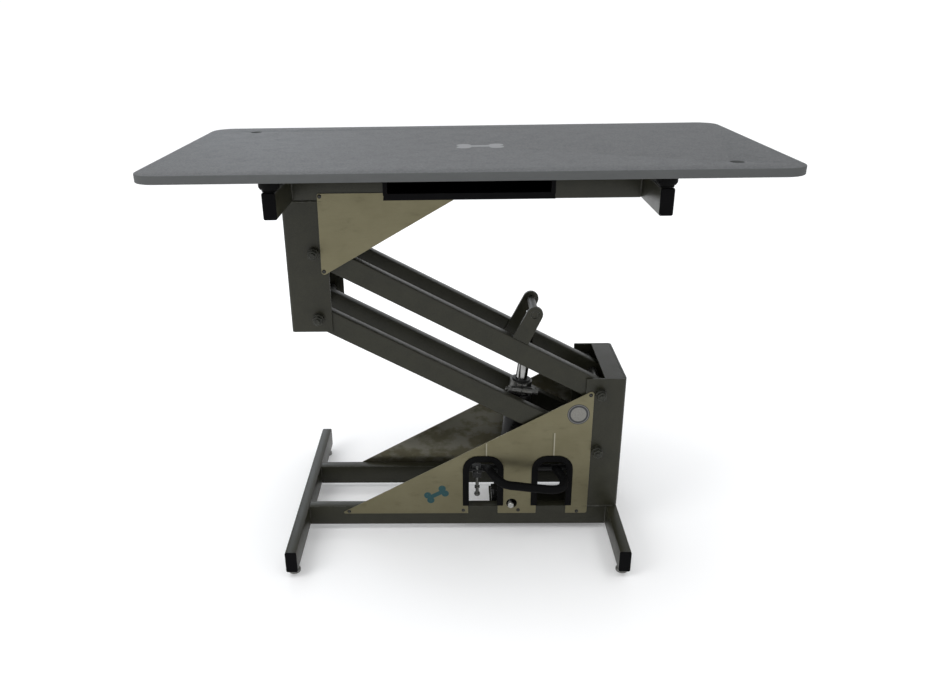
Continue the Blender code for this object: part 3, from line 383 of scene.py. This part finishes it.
def pebbled_top():
    """Pebbled wear surface on top, a smoother darker band round the edge."""
    g = Graph("pebbled_top", (0.105, 0.108, 0.111), 0.74, 0.0, 0.16)
    at = g.place()
    up = g.facing_up()
    pebble = g.cells(at, 430.0, 0.35)
    fine = g.noise(at, 1100.0, 2.0)
    tone = g.noise(at, 3.2, 3.0)
    speck = g.noise(at, 700.0, 2.0, 0.7)
    grit = g.noise(at, 210.0, 2.0, 0.75)
    face = g.mix(g.map(tone, 0.30, 0.70), rgba(0.086, 0.089, 0.091), rgba(0.108, 0.111, 0.113))
    face = g.mix(g.map(speck, 0.36, 0.66, 0.0, 0.55), face, rgba(0.156, 0.159, 0.163))
    # Painted shade: the grooves between pebbles, the low parts of the bump below, are darkened.
    face = g.mix(g.map(pebble, 0.50, 0.85, 0.0, 0.35), face, rgba(0.055, 0.057, 0.059))
    face = g.mix(g.map(grit, 0.52, 0.70, 0.0, 0.42), face, rgba(0.170, 0.174, 0.178))
    face = g.mix(g.map(grit, 0.47, 0.32, 0.0, 0.40), face, rgba(0.057, 0.059, 0.061))
    mark = bone_mask(g, "XY", TOP_BONE_CENTRE, TOP_BONE_LENGTH)
    face = g.mix(g.times(mark, 0.85), face, rgba(0.245, 0.249, 0.254))
    wear = g.noise(g.place((1.0, 1.0, 3.0)), 24.0, 3.0)
    band = g.mix(g.map(wear, 0.30, 0.75), rgba(0.082, 0.085, 0.085), rgba(0.092, 0.095, 0.095))
    g.use("Base Color", g.mix(up, band, face))
    g.use("Roughness", g.plus(g.map(tone, 0.3, 0.7, 0.66, 0.76), g.map(wear, 0.45, 0.75, 0.0, 0.10)))
    height = g.plus(g.times(pebble, -0.8), g.times(fine, 0.2))
    height = g.times(height, g.map(up, 0.0, 1.0, 0.10, 1.0))
    g.use("Normal", g.bump(height, 0.55, 0.0009))
    return g.mat


def label_face():
    """Plain round label: pale field, dark rim and a thin pale line near its edge."""
    g = Graph("round_label", (0.55, 0.55, 0.52), 0.40, 0.0, 0.5)
    split = g.split(g.place())
    x = split["X"]
    z = split["Z"]
    field = disc_mask(g, x, z, LABEL_CENTRE, LABEL_RADIUS * 0.70, 0.0004)
    outer = disc_mask(g, x, z, LABEL_CENTRE, LABEL_RADIUS * 0.93, 0.0003)
    inner = disc_mask(g, x, z, LABEL_CENTRE, LABEL_RADIUS * 0.88, 0.0003)
    line = g.math("SUBTRACT", outer, inner, clamp=True)
    paper = g.noise(g.place(), 300.0, 4.0)
    pale = g.mix(g.map(paper, 0.35, 0.7), rgba(0.155, 0.150, 0.135), rgba(0.205, 0.200, 0.180))
    colour = g.mix(field, rgba(0.020, 0.021, 0.024), pale)
    colour = g.mix(line, colour, rgba(0.16, 0.155, 0.14))
    g.use("Base Color", colour)
    g.use("Roughness", g.map(paper, 0.3, 0.7, 0.30, 0.48))
    g.use("Normal", g.bump(paper, 0.10, 0.0002))
    return g.mat


PAINT = frame_paint()
BOLT = bolt_paint()
ZINC = zinc("zinc_plate")
SLEEVE = zinc("zinc_sleeve", 0.6)
DULL_ZINC = zinc("dull_zinc", 0.30)
SCREW_ZINC = zinc("screw_zinc", 0.08)
STEEL = stainless("brushed_stainless")
# lower front cover: bone print and painted glare highlights
STEEL_MARK_AND_GLARE = stainless("brushed_stainless_mark_and_glare", mark_and_glare=True)
# rear covers: cloudy painted reflection on their -Y side
STEEL_SHEENED = stainless("brushed_stainless_sheened", painted_sheen=True)
CHROME = chrome()
RUBBER = rubber()
PLASTIC = plastic()
PUMP = pump_paint()
TOP = pebbled_top()

LOOKS = (                                 # starts of node names and their material; the rest is painted
    (("foot_cap", "frame_cap", "storage_tray"), PLASTIC),
    (("pivot_bolt",), BOLT),
    (("cross_sleeve", "levelling"), SLEEVE),
    (("release",), ZINC),
    (("jack_clamp", "pedal_stop"), DULL_ZINC),
    (("pedal_lever", "jack_pump_body", "jack_cylinder"), PUMP),
    (("lower_cover_front",), STEEL_MARK_AND_GLARE),
    (("upper_cover_front",), STEEL),
    (("lower_cover_rear", "upper_cover_rear"), STEEL_SHEENED),
    (("window_trim", "top_pad", "pedal_bar"), RUBBER),
    (("tabletop",), TOP),
    (("jack_rod",), CHROME),
)


# ---------------------------------------------------------------- CAD surfaces
def shading_group():
    """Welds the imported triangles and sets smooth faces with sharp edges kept."""
    group = bpy.data.node_groups.new("weld_and_shade", "GeometryNodeTree")
    group.interface.new_socket("Geometry", in_out="INPUT", socket_type="NodeSocketGeometry")
    group.interface.new_socket("Geometry", in_out="OUTPUT", socket_type="NodeSocketGeometry")
    start = group.nodes.new("NodeGroupInput")
    stop = group.nodes.new("NodeGroupOutput")
    weld = group.nodes.new("GeometryNodeMergeByDistance")
    weld.inputs["Distance"].default_value = WELD_DISTANCE
    angle = group.nodes.new("GeometryNodeInputMeshEdgeAngle")
    steep = group.nodes.new("FunctionNodeCompare")
    steep.operation = "GREATER_THAN"
    steep.inputs[1].default_value = SHARP_ANGLE
    normal = group.nodes.new("GeometryNodeSetMeshNormal")
    normal.mode = "SHARPNESS"
    normal.inputs["Remove Custom"].default_value = True
    normal.inputs["Face Sharpness"].default_value = False
    group.links.new(start.outputs[0], weld.inputs["Geometry"])
    group.links.new(weld.outputs[0], normal.inputs["Mesh"])
    group.links.new(angle.outputs["Unsigned Angle"], steep.inputs[0])
    group.links.new(steep.outputs[0], normal.inputs["Edge Sharpness"])
    group.links.new(normal.outputs[0], stop.inputs[0])
    return group


SHADING = shading_group()


def refine(obj, width):
    """Welded, flat areas merged, edges rounded: done with modifiers only."""
    shade = obj.modifiers.new("weld_and_shade", "NODES")
    shade.node_group = SHADING
    flat = obj.modifiers.new("merge_flats", "DECIMATE")
    flat.decimate_type = "DISSOLVE"
    flat.angle_limit = FLAT_ANGLE
    edge = obj.modifiers.new("round_edges", "BEVEL")
    edge.width = width
    edge.segments = EDGE_SEGMENTS
    edge.limit_method = "ANGLE"
    edge.angle_limit = SHARP_ANGLE
    edge.harden_normals = True
    edge.miter_outer = "MITER_ARC"


EDGE_WIDTHS = (                           # starts of node names and the width of their rounded edges
    (("window_trim", "lower_cover", "upper_cover"), 0.0003),
    (("pivot_bolt", "levelling", "jack_clamp", "release", "pedal_stop"), 0.0003),
    (("cross_sleeve", "jack_lug_pin"), 0.0003),
    (("tabletop", "pedal_bar", "top_pad"), 0.0004),
)
PLAIN_EDGE = 0.0005


def pick(name, rules, otherwise):
    for starts, value in rules:
        if name.startswith(starts):
            return value
    return otherwise


def dress_frame():
    for name, obj in NODES.items():
        for slot in obj.material_slots:
            slot.link = "OBJECT"
            slot.material = pick(name, LOOKS, PAINT)
        refine(obj, pick(name, EDGE_WIDTHS, PLAIN_EDGE))


# ---------------------------------------------------------------- small fittings
def new_object(name, bm, material):
    """Turns a bmesh into an object of the scene."""
    mesh = bpy.data.meshes.new(name)
    bm.to_mesh(mesh)
    bm.free()
    mesh.materials.append(material)
    obj = bpy.data.objects.new(name, mesh)
    bpy.context.scene.collection.objects.link(obj)
    return obj


def ringed_piece(name, rings, material, body):
    """Closed piece through rings of points, capped at both ends, that rides on a body."""
    bm = bmesh.new()
    loops = [[bm.verts.new(point) for point in ring] for ring in rings]
    for low, high in zip(loops, loops[1:]):
        for i in range(len(low)):
            j = (i + 1) % len(low)
            bm.faces.new((low[i], low[j], high[j], high[i]))
    bm.faces.new(loops[0])
    bm.faces.new(loops[-1])
    bmesh.ops.recalc_face_normals(bm, faces=bm.faces[:])
    obj = new_object(name, bm, material)
    obj.data.shade_smooth()
    obj.data.set_sharp_from_angle(angle=PIECE_SHARP_ANGLE)
    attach(obj, body)


def ring_points(x, z, radius, y, sides, lobes=0, depth=0.0):
    """Points of a circle in a plane of constant Y, drawn in by depth between its lobes."""
    points = []
    for i in range(sides):
        a = 2.0 * math.pi * i / sides
        r = radius - depth * (0.5 - 0.5 * math.cos(lobes * a))
        points.append((x + r * math.cos(a), y, z + r * math.sin(a)))
    return points


def cover_screw(name, x, z, y_face, out, body):
    """Low domed screw with a six-lobe socket; out is the way the head faces along Y."""
    rings = [ring_points(x, z, radius, y_face + out * lift, SCREW_SIDES, lobes, depth)
             for radius, lift, lobes, depth in SCREW_PROFILE]
    ringed_piece(name, rings, SCREW_ZINC, body)


def build_screws():
    rows = (("low", "lower_cover", LOW_SCREWS, "base"), ("high", "upper_cover", HIGH_SCREWS, "table"))
    for tag, cover, spots, body in rows:
        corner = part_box(cover + "_front")[0]
        rear_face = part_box(cover + "_rear")[1].y
        for i, (along, above) in enumerate(spots):
            x = corner.x + along
            z = corner.z + above
            cover_screw("cover_screw_%s_front_%d" % (tag, i), x, z, corner.y, -1.0, body)
            cover_screw("cover_screw_%s_rear_%d" % (tag, i), x, z, rear_face, 1.0, body)


def build_label():
    """Thin round label stuck on the lower front cover, with a softened rim."""
    x, z = LABEL_CENTRE
    profile = ((LABEL_RADIUS, 0.00005), (LABEL_RADIUS, 0.0002), (LABEL_RADIUS * 0.985, 0.0003))
    rings = [ring_points(x, z, radius, COVER_LOW.y - lift, LABEL_SIDES) for radius, lift in profile]
    ringed_piece("round_label", rings, label_face(), "base")


def weld_bead(name, start, stop, normal, body, radius=BEAD_RADIUS):
    """Rippled fillet bead along an inside corner, thinner at its two ends."""
    first = Vector(start)
    whole = Vector(stop) - first
    length = whole.length
    along = whole.normalized()
    out = Vector(normal).normalized()
    side = along.cross(out).normalized()
    angles = [2.0 * math.pi * k / BEAD_SIDES for k in range(BEAD_SIDES)]
    steps = max(4, int(length / BEAD_PITCH) * 4)
    rings = []
    for i in range(steps + 1):
        t = i / steps
        wave = 0.88 + 0.12 * abs(math.sin(math.pi * t * length / BEAD_PITCH))
        taper = min(1.0, math.sin(math.pi * min(max(t, 0.004), 0.996)) * 9.0)
        wander = 0.0003 * math.sin(t * length * 210.0)
        r = radius * wave * max(taper, 0.25)
        centre = first + along * (length * t) + side * wander
        rings.append([centre + out * (r * math.cos(a)) + side * (r * math.sin(a)) for a in angles])
    ringed_piece(name, rings, PAINT, body)


def weld_rail_ends(name, rail, left_tube, right_tube, body):
    """Beads up both faces of a rail where it meets the tubes at its two ends."""
    low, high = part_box(rail)
    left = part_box(left_tube)[1].x
    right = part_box(right_tube)[0].x
    for side, x, way in (("left", left, 1.0), ("right", right, -1.0)):
        for face, y, out in (("a", low.y, -1.0), ("b", high.y, 1.0)):
            start = (x, y, low.z + BEAD_MARGIN)
            stop = (x, y, high.z - BEAD_MARGIN)
            weld_bead("%s_%s_%s" % (name, side, face), start, stop, (way, out, 0.0), body)


def weld_post_end(name, post, at_top, left_gap, right_gap, body):
    """Beads along the front and rear of a post where its end meets the rails."""
    low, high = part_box(post)
    z = high.z if at_top else low.z
    for tag, y in (("front", low.y), ("rear", high.y)):
        start = (low.x + left_gap, y, z)
        stop = (high.x - right_gap, y, z)
        weld_bead(name + "_" + tag, start, stop, (0.0, y, 0.0), body, POST_BEAD_RADIUS)


def build_welds():
    for side in ("front", "rear"):
        weld_rail_ends("weld_base_" + side, "base_rail_" + side, "base_foot_left", "base_foot_right", "base")
    weld_post_end("weld_post", "lift_post", False, 0.002, 0.008, "base")
    weld_post_end("weld_hanger", "table_post", True, 0.008, 0.002, "table")
    for side in ("front", "rear"):
        rail = "top_rail_" + side
        weld_rail_ends("weld_" + rail, rail, "top_cross_left", "top_cross_right", "table")


# ---------------------------------------------------------------- studio
def studio_floor():
    """Plain pale floor just under the feet."""
    g = Graph("studio_floor", (0.82, 0.82, 0.82), 0.70, 0.0, 0.15)
    cloud = g.noise(g.place(), 1.5, 3.0)
    g.use("Base Color", g.mix(g.map(cloud, 0.3, 0.7), rgba(0.81, 0.81, 0.81), rgba(0.83, 0.83, 0.83)))
    g.use("Emission Color", rgba(1.0, 1.0, 1.0))
    g.use("Emission Strength", 0.16)
    bm = bmesh.new()
    bmesh.ops.create_grid(bm, x_segments=8, y_segments=8, size=60.0)
    floor = new_object("studio_floor", bm, g.mat)
    floor.location.z = -0.0005


def studio_backdrop():
    """Plain white surround inside the floor's edge, seen only by the camera."""
    g = Graph("studio_backdrop", (0.0, 0.0, 0.0), 0.5)
    g.use("Emission Color", rgba(1.0, 1.0, 1.0))
    g.use("Emission Strength", 1.0)
    bm = bmesh.new()
    bmesh.ops.create_uvsphere(bm, u_segments=64, v_segments=32, radius=55.0)
    shell = new_object("studio_backdrop", bm, g.mat)
    shell.visible_diffuse = False
    shell.visible_glossy = False
    shell.visible_transmission = False
    shell.visible_shadow = False


def new_lamp(name, kind):
    data = bpy.data.lights.new(name, kind)
    lamp = bpy.data.objects.new(name, data)
    bpy.context.scene.collection.objects.link(lamp)
    return lamp


def soft_light(name, place, target, size, power, colour=(1.0, 1.0, 1.0)):
    """Rectangular panel of the given width and height, turned to the target."""
    lamp = new_lamp(name, "AREA")
    lamp.data.shape = "RECTANGLE"
    lamp.data.size, lamp.data.size_y = size
    lamp.data.energy = power
    lamp.data.color = colour
    lamp.location = place
    lamp.rotation_mode = "QUATERNION"
    lamp.rotation_quaternion = (Vector(target) - Vector(place)).to_track_quat("-Z", "Y")


def overhead_light(strength, spread):
    """Even light from straight above, as from a large ceiling panel."""
    lamp = new_lamp("overhead", "SUN")
    lamp.data.energy = strength
    lamp.data.angle = math.radians(spread)
    lamp.location = (0.0, 0.0, 3.0)


def studio_lights():
    world = bpy.data.worlds.new("studio")
    bpy.context.scene.world = world
    world.use_nodes = True
    background = world.node_tree.nodes["Background"]
    background.inputs["Color"].default_value = rgba(0.95, 0.97, 1.0)
    background.inputs["Strength"].default_value = 0.55
    overhead_light(1.9, 70.0)
    soft_light("key", (-2.6, -1.8, 2.4), (0.0, 0.0, 0.6), (1.6, 1.6), 36.0)
    soft_light("fill", (3.2, -2.2, 1.5), (0.0, 0.0, 0.4), (1.8, 1.8), 12.0, (1.0, 0.97, 0.93))
    soft_light("rear", (0.4, 3.2, 1.2), (0.0, 0.0, 0.5), (3.0, 1.0), 8.0)
    soft_light("window", (-1.35, 3.2, 1.9), (-0.4, 0.0, 0.1), (0.9, 1.1), 12.5, (0.85, 0.92, 1.0))


def studio_camera():
    """Camera in front of the table and a little above its top, looking down at it."""
    place = Vector((-0.02316, -1.74006, 1.15497))
    right = Vector((0.99974288, 0.01652603, -0.01552596))
    up = Vector((0.00764069, 0.39914763, 0.91685484))
    ahead = Vector((-0.02134912, 0.91673773, -0.39891873))
    data = bpy.data.cameras.new("camera")
    data.lens = 31.32
    data.sensor_width = 36.0
    data.shift_x = 0.0313
    data.shift_y = 0.0113
    data.clip_start = 0.05
    camera = bpy.data.objects.new("camera", data)
    bpy.context.scene.collection.objects.link(camera)
    turn = Matrix((right, up, -ahead)).transposed().to_4x4()
    camera.matrix_world = Matrix.Translation(place) @ turn
    bpy.context.scene.camera = camera


dress_frame()
build_screws()
build_label()
build_welds()
studio_floor()
studio_backdrop()
studio_lights()
studio_camera()
bpy.context.scene.view_settings.view_transform = "Standard"
